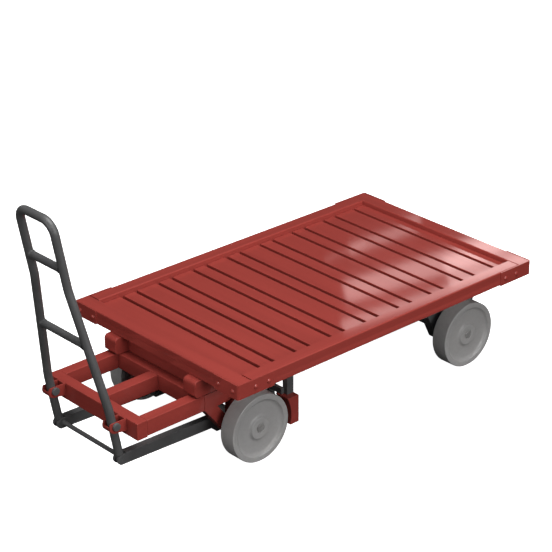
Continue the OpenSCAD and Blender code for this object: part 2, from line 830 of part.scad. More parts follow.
// The brake shaft with its two hanger posts and two levers welded on
module brake_rocker() {
    lever_r = shaft_d / 2 + lever_wall;
    color(DARK) on_carriage() {
        cross_bar(shaft_x, shaft_z, shaft_d / 2, -post_y - post_w / 2, post_y + post_w / 2);
        for (right = [false, true])
            other_side(right) {
                across(post_y - post_w / 2, post_y + post_w / 2) {
                    translate([shaft_x, shaft_z]) circle(r = post_l / 2 - 1);
                    translate([shaft_x - post_l / 2, shoe_top]) square([post_l, shaft_z - shoe_top]);
                }
                across(lever_y, lever_y + lever_t) {
                    translate([shaft_x, shaft_z]) circle(r = lever_r);
                    translate([lever_x, lever_z]) circle(r = lever_end_r);
                    polygon([[shaft_x - lever_r, shaft_z], [lever_x - lever_end_r, lever_z],
                        [lever_x + lever_end_r, lever_z], [shaft_x + lever_r, shaft_z]]);
                }
                cross_bar(lever_x, lever_z, bar_pin_d / 2, leg_y - bar_w / 2, lever_y + 1);
            }
    }
}

// A flat bar on the posts' front faces, just above the shoes
module brake_beam() {
    y = post_y - brake_beam_inset;
    color(DARK) on_carriage()
        span([post_face, -y, shoe_top], [post_face + brake_beam_t, y, shoe_top + brake_beam_h]);
}

// A shoe's curved face runs round its wheel
module shoe(right) {
    color(RED) on_carriage() other_side(right)
        across(wheel_y - wheel_w / 2, wheel_y + wheel_w / 2)
        difference() {
            translate([shoe_back, axle_z - shoe_down]) square([wheel_r, shoe_up + shoe_down]);
            translate([0, axle_z]) circle(r = wheel_r + brake_gap, $fn = 200);
        }
}

// Points on an arc round c, from angle a0 to a1
function arc(c, r, a0, a1, n = 6) =
    [for (i = [0 : n]) let (a = a0 + (a1 - a0) * i / n) c + r * [cos(a), sin(a)]];

// One face of a wheel from the rim to the hub, as radius and height above the wheel's middle
function wheel_face(h) = let (
    edge = tread_edge,
    rim_in = wheel_r - rim_w,
    web = h - dish,
    fillet = dish,
    hub_z = h - hub_drop,
    hub_fillet = dish - hub_drop
) concat(
    arc([wheel_r - edge, h - edge], edge, 0, 90, 4),
    [[rim_in, h]],
    arc([rim_in - fillet, h], fillet, -20, -90, 6),
    arc([hub_r + hub_fillet + 2, web + hub_fillet], hub_fillet, -90, -170, 6),
    [[hub_r, hub_z], [axle_d / 2 + hub_rim, hub_z], [axle_d / 2 + hub_rim, hub_z - hub_recess]]
);

module wheel(x, right) {
    half = wheel_w / 2;
    face = wheel_face(half);
    back = [for (i = [len(face) - 1 : -1 : 0]) [face[i].x, -face[i].y]];
    bore = axle_d / 2 + run_gap;
    bore_end = half - hub_drop - hub_recess;
    color(IRON) on_deck() other_side(right) translate([x, wheel_y, axle_z]) rotate([-90, 0, 0])
        rotate_extrude($fn = 120)
        polygon(concat(face, [[bore, bore_end], [bore, -bore_end]], back));
}

headboard(false);  // headboard_front
headboard(true);  // headboard_rear
side_rail(false);  // side_rail_left
side_rail(true);  // side_rail_right
for (i = [1 : 2 * plank_pairs])
    plank(i);
bearer(false);  // bearer_left
bearer(true);  // bearer_right
corner_iron(false, false);  // corner_iron_front_left
corner_iron(false, true);  // corner_iron_front_right
corner_iron(true, false);  // corner_iron_rear_left
corner_iron(true, true);  // corner_iron_rear_right
corner_rivets();
deck_bolster();
turntable_upper();
king_pin();
axle_stand(false);  // axle_stand_left
axle_stand(true);  // axle_stand_right
rear_cross_tie();
rear_axle();
front_beam();
arm_outer(false);  // arm_left
arm_centre();
arm_outer(true);  // arm_right
crossbeam_front();
guard(false);  // guard_left
guard(true);  // guard_right
carriage_bolster();
turntable_lower();
front_axle();
lug(false);  // lug_left
lug(true);  // lug_right
handle_frame();
handle_rungs();
handle_pins();
brake_bar(false);  // brake_bar_left
brake_bar(true);  // brake_bar_right
cross_rod();
brake_rocker();
brake_beam();
shoe(false);  // shoe_left
shoe(true);  // shoe_right
wheel(steer_x, false);  // wheel_front_left
wheel(steer_x, true);  // wheel_front_right
wheel(rear_x, false);  // wheel_rear_left
wheel(rear_x, true);  // wheel_rear_right
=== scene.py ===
# %% [markdown]
# # A platform truck, in cells
# The CAD model of the truck is loaded first as a fixed frame. Every piece made below takes its place
# from that frame, in metres, and rides on one of its bodies, so that it moves as the real piece does.

# %% Load the frame
import json
import math

import bmesh
import bpy
from mathutils import Matrix, Vector

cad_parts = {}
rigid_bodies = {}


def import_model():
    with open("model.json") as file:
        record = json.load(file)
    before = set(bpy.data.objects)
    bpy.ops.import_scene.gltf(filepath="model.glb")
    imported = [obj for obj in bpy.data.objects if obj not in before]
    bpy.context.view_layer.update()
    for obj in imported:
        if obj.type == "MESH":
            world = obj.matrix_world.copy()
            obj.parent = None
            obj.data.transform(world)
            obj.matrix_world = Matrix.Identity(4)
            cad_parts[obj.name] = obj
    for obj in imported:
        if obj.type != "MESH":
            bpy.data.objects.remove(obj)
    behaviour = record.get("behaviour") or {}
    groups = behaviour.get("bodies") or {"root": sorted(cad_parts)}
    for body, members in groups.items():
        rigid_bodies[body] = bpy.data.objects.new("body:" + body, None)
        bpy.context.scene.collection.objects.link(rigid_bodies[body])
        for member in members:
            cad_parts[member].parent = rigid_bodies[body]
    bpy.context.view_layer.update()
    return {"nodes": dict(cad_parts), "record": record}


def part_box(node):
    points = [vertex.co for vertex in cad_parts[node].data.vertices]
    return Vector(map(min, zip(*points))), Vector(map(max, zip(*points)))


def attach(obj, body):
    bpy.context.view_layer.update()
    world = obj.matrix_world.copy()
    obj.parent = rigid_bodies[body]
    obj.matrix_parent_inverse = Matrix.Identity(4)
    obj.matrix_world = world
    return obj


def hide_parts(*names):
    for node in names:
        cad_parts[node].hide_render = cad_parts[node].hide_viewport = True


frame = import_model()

MM = 0.001

# %% [markdown]
# ## Camera
# The truck is seen from its front left corner and a little above. A long lens flattens the perspective,
# as in a catalogue picture. Azimuth is counted from a view along +Y, and elevation down from the level.

# %% Set up the camera
CAMERA_AT = Vector((5.9890, 6.7296, 4.9456))
CAMERA_AZIMUTH = math.radians(137.81)
CAMERA_ELEVATION = math.radians(25.35)
CAMERA_ROLL = math.radians(-0.262)
LENS_MM = 132.9

camera_data = bpy.data.cameras.new("camera")
camera_data.lens = LENS_MM
camera_data.sensor_width = 36
camera_data.clip_end = 100
camera = bpy.data.objects.new("camera", camera_data)
camera.matrix_world = (
    Matrix.Translation(CAMERA_AT)
    @ Matrix.Rotation(CAMERA_AZIMUTH, 4, "Z")
    @ Matrix.Rotation(math.pi / 2 - CAMERA_ELEVATION, 4, "X")
    @ Matrix.Rotation(CAMERA_ROLL, 4, "Z")
)
bpy.context.scene.collection.objects.link(camera)
bpy.context.scene.camera = camera
print("camera at", tuple(CAMERA_AT), "lens", LENS_MM)

# %% [markdown]
# ## Small helpers for shader nodes
# A material is a tree of nodes. These helpers add a node with its settings, and join two sockets,
# so that each material below reads as a short list.

# %% Node helpers


def add(tree, kind, **settings):
    """Adds a node, sets its properties, and returns it."""
    node = tree.nodes.new(kind)
    for name, value in settings.items():
        setattr(node, name, value)
    return node


def link(tree, source, target):
    tree.links.new(source, target)


def new_group(name, inputs, outputs):
    """A shader node group with named inputs and outputs, and its two end nodes."""
    group = bpy.data.node_groups.new(name, "ShaderNodeTree")
    for label, kind, default in inputs:
        socket = group.interface.new_socket(label, in_out="INPUT", socket_type=kind)
        socket.default_value = default
    for label, kind in outputs:
        group.interface.new_socket(label, in_out="OUTPUT", socket_type=kind)
    return group, add(group, "NodeGroupInput"), add(group, "NodeGroupOutput")


def mix_colour(tree, factor, a, b, blend="MIX"):
    """A Mix node on colours. Each input is a socket or a plain value."""
    node = add(tree, "ShaderNodeMix", data_type="RGBA", blend_type=blend)
    for socket, value in ((node.inputs[0], factor), (node.inputs[6], a), (node.inputs[7], b)):
        if isinstance(value, bpy.types.NodeSocket):
            link(tree, value, socket)
        else:
            socket.default_value = value
    return node.outputs[2]


def ramp(tree, source, low, high, values=(0.0, 1.0)):
    """Stretches a value between two stops into a new range."""
    node = add(tree, "ShaderNodeMapRange", interpolation_type="SMOOTHSTEP")
    link(tree, source, node.inputs["Value"])
    node.inputs["From Min"].default_value = low
    node.inputs["From Max"].default_value = high
    node.inputs["To Min"].default_value = values[0]
    node.inputs["To Max"].default_value = values[1]
    return node.outputs["Result"]


print("node helpers ready")

# %% [markdown]
# ## Edge wear
# Paint wears off first where hands, loads and wheels rub: on the edges. A Bevel node gives the normal
# that a rounded edge would have, and where it differs from the true normal there is an edge. A noise
# breaks the mask up. Every finish below needs this effect, so it is a node group with its own inputs.

# %% Edge wear group
WEAR_EDGE = (0.995, 0.8)
WEAR_BREAKS = (0.42, 0.62)
WEAR_DETAIL = 6.0


def make_edge_wear():
    group, gin, gout = new_group(
        "edge wear",
        [("Radius", "NodeSocketFloat", 0.003), ("Breakup", "NodeSocketFloat", 60.0)],
        [("Mask", "NodeSocketFloat")],
    )
    bevel = add(group, "ShaderNodeBevel", samples=4)
    link(group, gin.outputs["Radius"], bevel.inputs["Radius"])
    geometry = add(group, "ShaderNodeNewGeometry")
    dot = add(group, "ShaderNodeVectorMath", operation="DOT_PRODUCT")
    link(group, bevel.outputs["Normal"], dot.inputs[0])
    link(group, geometry.outputs["Normal"], dot.inputs[1])
    edge = ramp(group, dot.outputs["Value"], *WEAR_EDGE)
    coords = add(group, "ShaderNodeTexCoord")
    noise = add(group, "ShaderNodeTexNoise")
    noise.inputs["Detail"].default_value = WEAR_DETAIL
    link(group, coords.outputs["Object"], noise.inputs["Vector"])
    link(group, gin.outputs["Breakup"], noise.inputs["Scale"])
    broken = ramp(group, noise.outputs["Fac"], *WEAR_BREAKS)
    product = add(group, "ShaderNodeMath", operation="MULTIPLY")
    link(group, edge, product.inputs[0])
    link(group, broken, product.inputs[1])
    link(group, product.outputs[0], gout.inputs["Mask"])
    return group


EDGE_WEAR = make_edge_wear()
print("made the group:", EDGE_WEAR.name)

# %% [markdown]
# ## Brush marks
# Paint that is laid on with a brush keeps faint lines along the timber. Such lines could be drawn in a
# picture, but that needs a map for each plank. A noise on Object coordinates that is stretched along
# the piece needs none. It gives both a shade and a small height.

# %% Brush marks group
BRUSH_DETAIL = 5.0
BRUSH_DISTORTION = 0.4


def make_brush_marks():
    group, gin, gout = new_group(
        "brush marks",
        [("Stretch", "NodeSocketVector", (4.0, 60.0, 60.0)), ("Depth", "NodeSocketFloat", 1.0)],
        [("Height", "NodeSocketFloat"), ("Shade", "NodeSocketFloat")],
    )
    coords = add(group, "ShaderNodeTexCoord")
    scale = add(group, "ShaderNodeVectorMath", operation="MULTIPLY")
    link(group, coords.outputs["Object"], scale.inputs[0])
    link(group, gin.outputs["Stretch"], scale.inputs[1])
    noise = add(group, "ShaderNodeTexNoise")
    noise.inputs["Scale"].default_value = 1.0
    noise.inputs["Detail"].default_value = BRUSH_DETAIL
    noise.inputs["Distortion"].default_value = BRUSH_DISTORTION
    link(group, scale.outputs[0], noise.inputs["Vector"])
    deep = add(group, "ShaderNodeMath", operation="MULTIPLY")
    link(group, noise.outputs["Fac"], deep.inputs[0])
    link(group, gin.outputs["Depth"], deep.inputs[1])
    link(group, deep.outputs[0], gout.inputs["Height"])
    link(group, noise.outputs["Fac"], gout.inputs["Shade"])
    return group


BRUSH_MARKS = make_brush_marks()
print("made the group:", BRUSH_MARKS.name)

# %% [markdown]
# ## Grime
# Dust and old grease dull a finish in soft patches. A coarse noise with much fine detail gives such
# patches. Their scale and amount are inputs, so that clean paint and dirty iron can share one group.

# %% Grime group
GRIME_PATCHES = (0.4, 0.75)
GRIME_DETAIL = 8.0
GRIME_ROUGHNESS = 0.62


def make_grime():
    group, gin, gout = new_group(
        "grime",
        [("Scale", "NodeSocketFloat", 3.0), ("Amount", "NodeSocketFloat", 0.3)],
        [("Mask", "NodeSocketFloat")],
    )
    coords = add(group, "ShaderNodeTexCoord")
    noise = add(group, "ShaderNodeTexNoise")
    noise.inputs["Detail"].default_value = GRIME_DETAIL
    noise.inputs["Roughness"].default_value = GRIME_ROUGHNESS
    link(group, coords.outputs["Object"], noise.inputs["Vector"])
    link(group, gin.outputs["Scale"], noise.inputs["Scale"])
    patches = ramp(group, noise.outputs["Fac"], *GRIME_PATCHES)
    scaled = add(group, "ShaderNodeMath", operation="MULTIPLY")
    link(group, patches, scaled.inputs[0])
    link(group, gin.outputs["Amount"], scaled.inputs[1])
    link(group, scaled.outputs[0], gout.inputs["Mask"])
    return group


GRIME = make_grime()
print("made the group:", GRIME.name)

# %% [markdown]
# ## Finishes
# All the finishes are built by one function. It takes the main colour, a darker colour for grime and a
# colour that shows through on worn edges, and it sets the gloss on the shader's own sockets. The timber
# is painted in gloss red, the steel in satin dark grey, and the wheels are bare cast iron.

# %% Finish builder
SHADE_RANGE = (0.3, 0.7)
GRIME_DULLS = 0.5
COAT_ROUGHNESS = 0.06


def group_node(tree, group, **values):
    """Places a node group and sets its inputs by name."""
    node = add(tree, "ShaderNodeGroup", node_tree=group)
    for name, value in values.items():
        node.inputs[name].default_value = value
    return node


def finish_material(name, base, grime, bare, stretch, rough, metallic=0.0, coat=0.0, wear=0.5,
                    marks=0.1, bump=0.0004, grime_scale=3.0, grime_amount=0.3, wear_radius=0.003,
                    specular=0.5):
    """A finish with brush marks, patches of grime and worn edges over one main colour."""
    mat = bpy.data.materials.new(name)
    mat.use_nodes = True
    tree = mat.node_tree
    tree.nodes.clear()
    out = add(tree, "ShaderNodeOutputMaterial")
    shader = add(tree, "ShaderNodeBsdfPrincipled")
    link(tree, shader.outputs["BSDF"], out.inputs["Surface"])
    brush = group_node(tree, BRUSH_MARKS, Stretch=stretch)
    dirt = group_node(tree, GRIME, Scale=grime_scale, Amount=grime_amount)
    worn = group_node(tree, EDGE_WEAR, Radius=wear_radius)
    light = [min(1.0, c * (1 + marks)) for c in base[:3]] + [1]
    dark = [c * (1 - marks) for c in base[:3]] + [1]
    shade = ramp(tree, brush.outputs["Shade"], *SHADE_RANGE)
    colour = mix_colour(tree, shade, dark, light)
    colour = mix_colour(tree, dirt.outputs["Mask"], colour, grime)
    scaled = add(tree, "ShaderNodeMath", operation="MULTIPLY")
    link(tree, worn.outputs["Mask"], scaled.inputs[0])
    scaled.inputs[1].default_value = wear
    colour = mix_colour(tree, scaled.outputs[0], colour, bare)
    link(tree, colour, shader.inputs["Base Color"])
    dull = add(tree, "ShaderNodeMath", operation="MULTIPLY_ADD")
    link(tree, dirt.outputs["Mask"], dull.inputs[0])
    dull.inputs[1].default_value = GRIME_DULLS
    dull.inputs[2].default_value = rough
    link(tree, dull.outputs[0], shader.inputs["Roughness"])
    shader.inputs["Metallic"].default_value = metallic
    shader.inputs["Specular IOR Level"].default_value = specular
    shader.inputs["Coat Weight"].default_value = coat
    shader.inputs["Coat Roughness"].default_value = COAT_ROUGHNESS
    relief = add(tree, "ShaderNodeBump")
    relief.inputs["Strength"].default_value = 1.0
    relief.inputs["Distance"].default_value = bump
    link(tree, brush.outputs["Height"], relief.inputs["Height"])
    link(tree, relief.outputs["Normal"], shader.inputs["Normal"])
    return mat


print("finish builder ready")

# %% [markdown]
# ## Red paint
# Timber and small steel parts carry the same gloss red. The paint itself scatters light, and a clear
# coat over it mirrors the lights, as a thin hard film does. The marks run with the timber, so there is
# one material for timber along the truck, one for timber across it, and one for steel.

# %% Red paint on timber and steel
RED = (0.285, 0.040, 0.0315, 1)
RED_GRIME = (0.20, 0.028, 0.022, 1)
RED_BARE = (0.42, 0.09, 0.075, 1)
ALONG_X = (1.2, 26.0, 26.0)
ALONG_Y = (26.0, 1.2, 26.0)
ALL_WAYS = (9.0, 9.0, 9.0)


def red_paint(name, stretch):
    """Gloss red paint with its brush marks stretched one way."""
    return finish_material(
        name, RED, RED_GRIME, RED_BARE, stretch, rough=0.55, coat=1.0, wear=0.5, marks=0.05,
        bump=0.000003, grime_scale=2.2, grime_amount=0.16, specular=0.15)


PAINT_X = red_paint("red paint on timber, along", ALONG_X)
PAINT_Y = red_paint("red paint on timber, across", ALONG_Y)
PAINT_STEEL = red_paint("red paint on steel", ALL_WAYS)
print("red finishes:", [m.name for m in (PAINT_X, PAINT_Y, PAINT_STEEL)])

# %% [markdown]
# ## Dark paint, turned steel and cast iron
# The handle and the brake are painted satin dark grey. The axles and the king pin are bare turned
# steel, which has gone dull and so is only partly metallic here. The wheels are grey castings. All
# three come from the same builder with other values.

# %% Dark paint, turned steel and cast iron
DARK_PAINT = finish_material(
    "dark grey paint", (0.078, 0.078, 0.079, 1), (0.032, 0.031, 0.030, 1), (0.16, 0.155, 0.15, 1), ALL_WAYS,
    rough=0.42, coat=0.05, wear=0.5, marks=0.08, bump=0.0001, grime_scale=5.0, grime_amount=0.35)
TURNED_STEEL = finish_material(
    "turned steel", (0.33, 0.32, 0.315, 1), (0.22, 0.205, 0.19, 1), (0.50, 0.49, 0.48, 1), (50.0, 2.0, 50.0),
    rough=0.3, metallic=0.3, wear=0.5, marks=0.12, bump=0.00005, grime_scale=9.0, grime_amount=0.4)
CAST_IRON = finish_material(
    "cast iron", (0.34, 0.333, 0.330, 1), (0.28, 0.262, 0.245, 1), (0.46, 0.45, 0.44, 1), (55.0, 55.0, 55.0),
    rough=0.34, metallic=0.0, wear=0.4, marks=0.035, bump=0.00004, grime_scale=6.0, grime_amount=0.25)
print("finishes:", [m.name for m in bpy.data.materials])

# %% [markdown]
# ## Making and placing pieces
# Each piece's mesh holds its place, its object stays at the origin, and it rides on the body of the
# CAD node that it stands for.

# %% Piece helpers
BODY_OF = {n: b for b, nodes in frame["record"]["behaviour"]["bodies"].items() for n in nodes}
SHARP_DEGREES = 32
MERGE_WITHIN = 1e-6


def object_of(mesh, name):
    """A mesh object at the origin, in the scene."""
    piece = bpy.data.objects.new(name, mesh)
    bpy.context.scene.collection.objects.link(piece)
    return piece


def register(piece, material, slot, *nodes, body=None):
    """Gives a piece its finish and its body, and hides the CAD nodes that it stands for."""
    piece.data.materials.clear()
    piece.data.materials.append(material)
    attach(piece, body or BODY_OF[nodes[0]])
    if nodes:
        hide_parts(*nodes)
    return piece


def smooth(mesh, sharp_degrees=SHARP_DEGREES):
    """Shades a mesh as smooth, except over edges that are sharper than an angle."""
    mesh.shade_smooth()
    mesh.set_sharp_from_angle(angle=math.radians(sharp_degrees))


def mesh_of(bm, name, sharp_degrees=SHARP_DEGREES):
    """Turns a bmesh into a mesh with outward faces."""
    bmesh.ops.remove_doubles(bm, verts=bm.verts, dist=MERGE_WITHIN)
    bmesh.ops.recalc_face_normals(bm, faces=bm.faces)
    mesh = bpy.data.meshes.new(name)
    bm.to_mesh(mesh)
    bm.free()
    smooth(mesh, sharp_degrees)
    return mesh


print("nodes with a body:", len(BODY_OF))

# %% [markdown]
# ## Soft edges on sawn timber and bent steel
# Nothing that is sawn, planed, painted or forged has a perfectly sharp edge: a rounded one catches a
# thin line of light. A copy of the CAD mesh is merged, its flat faces are joined again, and a bevel
# rounds the edges. The copy keeps the CAD's place exactly.

# %% Soften a CAD node
FLAT_DEGREES = 0.4
CAD_MERGE_WITHIN = 1e-5


def rounded_edges(piece, width, segments=3):
    """Rounds a piece's edges and keeps its flat faces flat to the light."""
    rounding = piece.modifiers.new("rounding", "BEVEL")
    rounding.width = width
    rounding.segments = segments
    rounding.limit_method = "ANGLE"
    rounding.angle_limit = math.radians(SHARP_DEGREES)
    rounding.harden_normals = True
    rounding.use_clamp_overlap = True


def softened(node, material, slot, width, segments=3):
    """Stands for a CAD node with the same shape and rounded edges."""
    bm = bmesh.new()
    bm.from_mesh(frame["nodes"][node].data)
    bmesh.ops.remove_doubles(bm, verts=bm.verts, dist=CAD_MERGE_WITHIN)
    bmesh.ops.dissolve_limit(bm, angle_limit=math.radians(FLAT_DEGREES), verts=bm.verts, edges=bm.edges)
    mesh = bpy.data.meshes.new(node + "_soft")
    bm.to_mesh(mesh)
    bm.free()
    smooth(mesh)
    piece = object_of(mesh, node + "_soft")
    rounded_edges(piece, width, segments)
    return register(piece, material, slot, node)


print("edges sharper than", SHARP_DEGREES, "degrees are rounded")

# %% [markdown]
# ## The deck's timbers
# Two end boards and two side rails frame the deck, with two bearers below it and a bolster over the
# turntable. They are planed and painted, so their edges are eased by about 2 mm. The brush marks
# follow each timber's own length.

# %% The deck's frame and bearers
EDGE = 2.2 * MM
for node in ("headboard_front", "headboard_rear"):
    softened(node, PAINT_Y, "red_timber", EDGE)
for node in ("side_rail_left", "side_rail_right", "bearer_left", "bearer_right"):
    softened(node, PAINT_X, "red_timber", EDGE)
softened("deck_bolster", PAINT_Y, "red_timber", 2 * EDGE)
print("deck timbers done")

# %% [markdown]
# ## The fore-carriage's timbers
# The carriage is a frame of heavier timbers that turns below the deck, with two guards beside its
# wheels and two wooden brake shoes. Rough use has rounded these edges more than the deck's.

# %% The fore-carriage's timbers
for node in ("front_beam", "crossbeam_front", "carriage_bolster"):
    softened(node, PAINT_Y, "red_timber", 1.6 * EDGE)
for node in ("arm_left", "arm_centre", "arm_right", "guard_left", "guard_right"):
    softened(node, PAINT_X, "red_timber", 1.6 * EDGE)
for node in ("shoe_left", "shoe_right"):
    softened(node, PAINT_X, "red_timber", 1.8 * EDGE)
print("carriage timbers done")

# %% [markdown]
# ## Folded, forged and welded steel
# Thin angle irons have almost sharp edges, and forged bars have soft ones. The CAD already has their
# shape, so the same bevel serves them all, with its own width for each.

# %% Angle irons, lugs, stands and the brake's steel
for end in ("front", "rear"):
    for side in ("left", "right"):
        softened(f"corner_iron_{end}_{side}", PAINT_STEEL, "red_steel", 0.9 * MM, 2)
for node in ("lug_left", "lug_right"):
    softened(node, PAINT_STEEL, "red_steel", 1.5 * MM)
for node in ("axle_stand_left", "axle_stand_right", "rear_cross_tie"):
    softened(node, DARK_PAINT, "dark_steel", 1.8 * MM)
for node in ("brake_bar_left", "brake_bar_right"):
    softened(node, DARK_PAINT, "dark_steel", 3 * MM)
for node in ("brake_rocker", "brake_beam"):
    softened(node, DARK_PAINT, "dark_steel", 1.5 * MM)
for node in ("turntable_upper", "turntable_lower"):
    softened(node, DARK_PAINT, "dark_steel", 0.8 * MM, 2)
softened("king_pin", TURNED_STEEL, "bright_steel", 1.2 * MM, 2)
print("steel done")

# %% [markdown]
# ## Planks
# The deck is floored with planks, a wide one and a narrow one in turn. Geometry Nodes suit this well:
# one board is placed at points along a line, and a bevel eases the edges of the whole row. The tree has
# the number of boards, their pitch and the row's start as inputs, and it ends by making the copies real.

# %% Geometry node helpers


def new_geometry_group(name, inputs):
    """A geometry node group with named inputs, and its two end nodes."""
    group = bpy.data.node_groups.new(name, "GeometryNodeTree")
    group.interface.new_socket("Geometry", in_out="INPUT", socket_type="NodeSocketGeometry")
    for label, kind in inputs:
        group.interface.new_socket(label, in_out="INPUT", socket_type=kind)
    group.interface.new_socket("Geometry", in_out="OUTPUT", socket_type="NodeSocketGeometry")
    return group, add(group, "NodeGroupInput"), add(group, "NodeGroupOutput")


def set_inputs(modifier, values):
    """Sets a modifier's inputs by each socket's identifier."""
    for item in modifier.node_group.interface.items_tree:
        if item.item_type == "SOCKET" and item.in_out == "INPUT" and item.name in values:
            modifier[item.identifier] = values[item.name]


def end_group(group, geometry, material_socket, gout):
    """Realizes the copies, gives them their material and sends them out."""
    real = add(group, "GeometryNodeRealizeInstances")
    link(group, geometry, real.inputs[0])
    painted = add(group, "GeometryNodeSetMaterial")
    link(group, real.outputs[0], painted.inputs["Geometry"])
    link(group, material_socket, painted.inputs["Material"])
    link(group, painted.outputs[0], gout.inputs[0])


def baked(carrier, name):
    """The evaluated result of a carrier's modifiers as a plain mesh object. The carrier is removed."""
    graph = bpy.context.evaluated_depsgraph_get()
    mesh = bpy.data.meshes.new_from_object(carrier.evaluated_get(graph))
    bpy.data.objects.remove(carrier)
    return object_of(mesh, name)


print("geometry node helpers ready")

# %% [markdown]
# ## A tree that lays boards
# A Mesh Line gives a point for each board, and Instance on Points puts a board there. The copies could
# be made by an Array modifier too, but the tree is shorter to set from measured sizes: the count, the
# pitch and the start are its inputs, and one tree lays both widths.

# %% The plank tree


def make_plank_tree():
    group, gin, gout = new_geometry_group("planks", [
        ("Count", "NodeSocketInt"), ("Pitch", "NodeSocketFloat"), ("Start", "NodeSocketVector"),
        ("Material", "NodeSocketMaterial")])
    line = add(group, "GeometryNodeMeshLine", mode="OFFSET")
    step = add(group, "ShaderNodeCombineXYZ")
    link(group, gin.outputs["Pitch"], step.inputs["X"])
    link(group, gin.outputs["Count"], line.inputs["Count"])
    link(group, gin.outputs["Start"], line.inputs["Start Location"])
    link(group, step.outputs[0], line.inputs["Offset"])
    copies = add(group, "GeometryNodeInstanceOnPoints")
    link(group, line.outputs[0], copies.inputs["Points"])
    link(group, gin.outputs["Geometry"], copies.inputs["Instance"])
    end_group(group, copies.outputs[0], gin.outputs["Material"], gout)
    return group


PLANK_TREE = make_plank_tree()
print("plank tree nodes:", len(PLANK_TREE.nodes))

# %% [markdown]
# ## Planks in rows
# A row's start, pitch and board size are measured from the CAD's planks, so that it keeps step with
# them. Every second plank belongs to the same row. The bevel comes last, so that it eases each board.

# %% Plank helpers
PLANK_EDGE = 2.4 * MM


def middle(node):
    """The middle of a CAD node's box."""
    low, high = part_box(node)
    return (Vector(low) + Vector(high)) / 2


def board(size):
    """One sawn board, centred on the origin."""
    bm = bmesh.new()
    bmesh.ops.create_cube(bm, size=1.0, matrix=Matrix.Diagonal((*size, 1.0)))
    return mesh_of(bm, "board")


def planks(name, first, last, count):
    """A row of equal planks that stands for the CAD planks from first to last."""
    low, high = (Vector(v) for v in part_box(f"plank_{first}"))
    start = (low + high) / 2
    pitch = (middle(f"plank_{last}").x - start.x) / max(1, count - 1)
    carrier = object_of(board(high - low), name)
    modifier = carrier.modifiers.new("planks", "NODES")
    modifier.node_group = PLANK_TREE
    set_inputs(modifier, {"Count": count, "Pitch": pitch, "Start": start, "Material": PAINT_Y})
    piece = baked(carrier, name)
    smooth(piece.data)
    rounded_edges(piece, PLANK_EDGE)
    register(piece, PAINT_Y, "red_timber", *[f"plank_{i}" for i in range(first, last + 1, 2)])
    print(name, "boards:", count, "pitch:", round(pitch, 4))


print("first plank at", tuple(middle("plank_1")))

# %% [markdown]
# ## Laying the planks
# The front plank is a little wider than the others, so it is laid by itself. The rest are a row of wide
# planks and a row of narrow ones, each with its own start.

# %% Lay the planks
PLANK_COUNT = sum(1 for n in frame["nodes"] if n.startswith("plank_"))
planks("plank_front", 1, 1, 1)
planks("planks_wide", 3, PLANK_COUNT - 1, PLANK_COUNT // 2 - 1)
planks("planks_narrow", 2, PLANK_COUNT, PLANK_COUNT // 2)
print("planks laid:", PLANK_COUNT)

# %% [markdown]
# ## Rivets
# The corner irons are riveted to the timber. The rivets' places are worked out from the irons' boxes,
# and a tree puts a domed head on each place, turned to face outwards.

# %% The rivet tree
DOME_SEGMENTS = 32
DOME_RINGS = 16


def make_rivet_tree():
    group, gin, gout = new_geometry_group("rivets", [
        ("Radius", "NodeSocketFloat"), ("Height", "NodeSocketFloat"), ("Material", "NodeSocketMaterial")])
    ball = add(group, "GeometryNodeMeshUVSphere")
    ball.inputs["Segments"].default_value = DOME_SEGMENTS
    ball.inputs["Rings"].default_value = DOME_RINGS
    ball.inputs["Radius"].default_value = 1.0
    scale = add(group, "ShaderNodeCombineXYZ")
    link(group, gin.outputs["Radius"], scale.inputs["X"])
    link(group, gin.outputs["Radius"], scale.inputs["Y"])
    link(group, gin.outputs["Height"], scale.inputs["Z"])
    dome = add(group, "GeometryNodeTransform")
    link(group, ball.outputs["Mesh"], dome.inputs["Geometry"])
    link(group, scale.outputs[0], dome.inputs["Scale"])
    outwards = add(group, "GeometryNodeInputNamedAttribute", data_type="FLOAT_VECTOR")
    outwards.inputs["Name"].default_value = "outwards"
    turn = add(group, "FunctionNodeAlignRotationToVector", axis="Z")
    link(group, outwards.outputs["Attribute"], turn.inputs["Vector"])
    copies = add(group, "GeometryNodeInstanceOnPoints")
    link(group, gin.outputs["Geometry"], copies.inputs["Points"])
    link(group, dome.outputs[0], copies.inputs["Instance"])
    link(group, turn.outputs[0], copies.inputs["Rotation"])
    end_group(group, copies.outputs[0], gin.outputs["Material"], gout)
    return group


RIVET_TREE = make_rivet_tree()
print("rivet tree nodes:", len(RIVET_TREE.nodes))

# %% [markdown]
# ## Placing the rivets
# Each iron wraps a corner and has two rivets on each of its two faces. Their distances are counted from
# the corner. The way that a rivet faces is stored on its point as an attribute for the tree to read.

# %% Place the rivets
RIVETS_ALONG_SIDE = (110 * MM, 190 * MM)
RIVETS_ALONG_END = (38 * MM, 139 * MM)
RIVET_UP = 34 * MM
RIVET_RADIUS = 11.5 * MM
RIVET_HEIGHT = 6.5 * MM
RIVET_SHARP_DEGREES = 60


def rivet_places():
    """Each rivet's place on the face of its iron, and the way it faces."""
    places = []
    for end, x_way in (("front", 1), ("rear", -1)):
        for side, y_way in (("left", 1), ("right", -1)):
            low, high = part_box(f"corner_iron_{end}_{side}")
            x = high[0] if x_way > 0 else low[0]
            y = high[1] if y_way > 0 else low[1]
            z = low[2] + RIVET_UP
            for d in RIVETS_ALONG_SIDE:
                places.append(((x - x_way * d, y, z), (0, y_way, 0)))
            for d in RIVETS_ALONG_END:
                places.append(((x, y - y_way * d, z), (x_way, 0, 0)))
    return places


